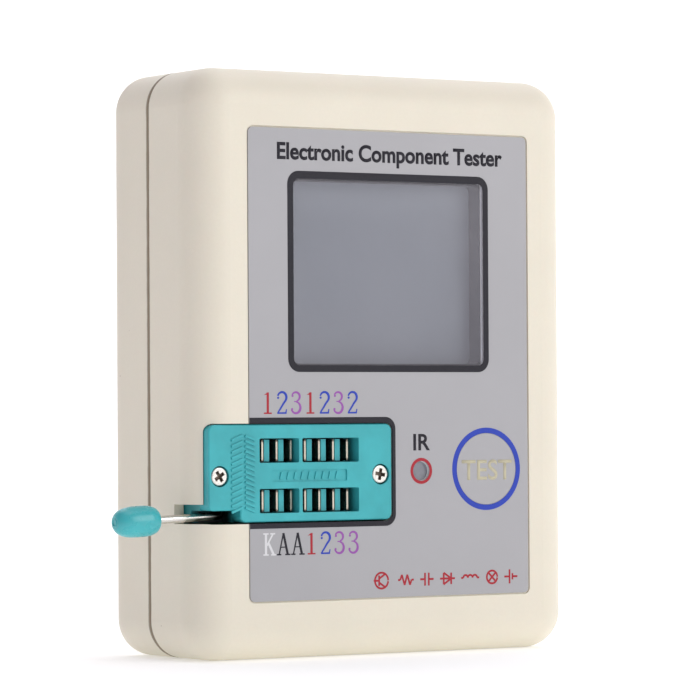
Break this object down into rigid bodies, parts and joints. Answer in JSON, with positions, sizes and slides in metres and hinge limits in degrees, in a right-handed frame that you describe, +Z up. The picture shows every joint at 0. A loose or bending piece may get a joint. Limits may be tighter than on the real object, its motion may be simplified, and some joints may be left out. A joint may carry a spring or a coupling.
{
  "type": "component tester",
  "caption": "Handheld electronic component tester with a colour display, a lever-operated test socket and a membrane start key.",
  "frame": {"origin": "centre of the flat bottom end face of the case, midway between its front and back planes", "axes": "+Z up along the case's length, front face with the display and socket toward -Y, +X to the right as seen from the front"},
  "size_m": [0.0808, 0.0274, 0.0898],
  "materials": {
    "case_cream": "fine satin texture",
    "label_print": "satin printed film",
    "clear_film": "clear film",
    "ir_filter": "tinted gloss",
    "foam_black": "closed-cell foam",
    "lcd_glass": "unlit display",
    "frame_white": "satin",
    "flex_amber": "polyimide",
    "socket_teal": "satin moulded",
    "knob_teal": "semi-gloss moulded",
    "wire_steel": "bright drawn wire",
    "screw_nickel": "plated",
    "contact_tin": "bright tin plate",
    "board_green": "solder mask",
    "switch_black": "matte moulded",
    "button_white": "satin moulded",
    "can_steel": "drawn steel",
    "chip_black": "moulded resin",
    "ferrite": "ferrite",
    "aluminium_can": "drawn can",
    "chip_ceramic": "ceramic",
    "pipe_clear": "clear moulded",
    "led_white": "clear resin",
    "pouch_silver": "laminated foil",
    "tape_black": "foam tape",
    "plug_white": "nylon",
    "wire_red": "silicone sleeve",
    "wire_black": "silicone sleeve"
  },
  "bodies": {
    "case": {"front_shell": "case_cream", "back_shell": "case_cream", "case_screws": "screw_nickel", "label_overlay": "label_print", "display_window": "clear_film", "ir_window": "ir_filter", "display_gasket": "foam_black", "display_panel": "lcd_glass", "display_frame": "frame_white", "display_flex": "flex_amber", "main_board": "board_green", "board_screws": "screw_nickel", "zif_base": "socket_teal", "zif_cover": "socket_teal", "zif_cover_screws": "screw_nickel", "zif_contacts": "contact_tin", "tact_switch_body": "switch_black", "tact_switch_cover": "can_steel", "ir_receiver": "chip_black", "ir_receiver_leads": "contact_tin", "usb_port": "can_steel", "usb_tongue": "switch_black", "charge_led": "led_white", "led_light_pipe": "pipe_clear", "microcontroller": "chip_black", "charger_chip": "chip_black", "boost_chip": "chip_black", "power_inductor": "ferrite", "crystal": "can_steel", "filter_capacitors": "aluminium_can", "chip_resistors": "chip_black", "chip_capacitors": "chip_ceramic", "small_transistors": "chip_black", "battery_cell": "pouch_silver", "battery_tape": "tape_black", "battery_socket": "plug_white", "battery_plug": "plug_white", "battery_lead_red": "wire_red", "battery_lead_black": "wire_black"},
    "lever": {"zif_lever": "wire_steel", "zif_lever_knob": "knob_teal"},
    "slider": {"zif_slider": "socket_teal"},
    "start_button": {"start_key_film": "label_print", "start_button_cap": "button_white", "tact_switch_stem": "switch_black"}
  },
  "joints": [
    {"name": "zif_lever", "type": "hinge", "parent": "case", "child": "lever", "pos_m": [-0.0279, -0.00915, 0.02795], "axis": [0, 0, 1], "range_deg": [0, 90]},
    {"name": "zif_slider", "type": "slide", "parent": "case", "child": "slider", "axis": [1, 0, 0], "range_m": [0, 0.001]},
    {"name": "start_button", "type": "slide", "parent": "case", "child": "start_button", "axis": [0, 1, 0], "range_m": [0, 0.0003]}
  ],
  "couplings": [
    {"joint": "zif_slider", "follows": "zif_lever", "m_per_rad": 0.000637}
  ]
}
